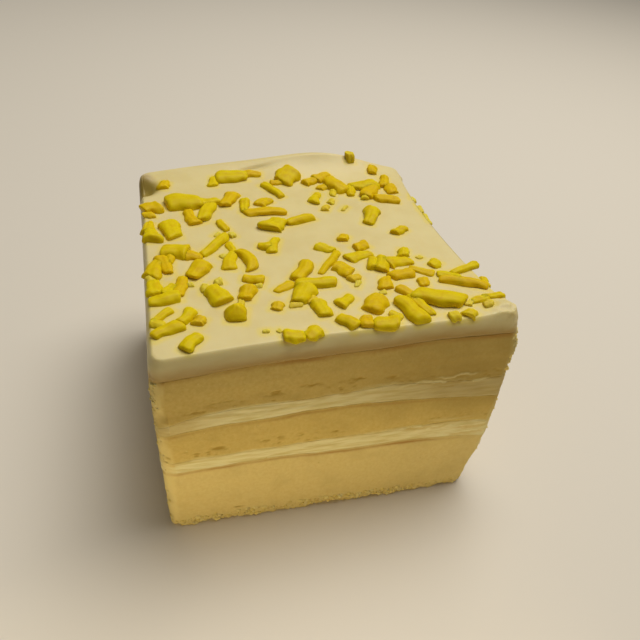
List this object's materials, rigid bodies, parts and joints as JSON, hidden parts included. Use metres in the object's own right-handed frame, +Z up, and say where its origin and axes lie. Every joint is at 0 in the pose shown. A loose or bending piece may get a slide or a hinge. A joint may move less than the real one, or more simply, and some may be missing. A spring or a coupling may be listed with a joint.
{
  "type": "layer cake",
  "caption": "Square-cut piece of layer cake with pale sponges, thin cream fillings and smooth icing strewn with yellow shavings, for laying on a plate or tray.",
  "frame": {"origin": "middle of the piece's extent in the plan, on the flat base it rests on", "axes": "+Z up through the layers, -Y towards the cut front face, +X to its right"},
  "size_m": [0.0806, 0.0808, 0.0578],
  "materials": {
    "sponge": "dry pale yellow sponge with a fine open crumb",
    "cream": "soft ivory cream, satin, streaked where the cut smeared it",
    "icing": "smooth ivory icing, satin, strewn with bright yellow shavings"
  },
  "bodies": {
    "root": {"sponge_bottom": "sponge", "cream_lower": "cream", "sponge_middle": "sponge", "cream_upper": "cream", "sponge_top": "sponge", "icing_top": "icing"}
  },
  "joints": []
}
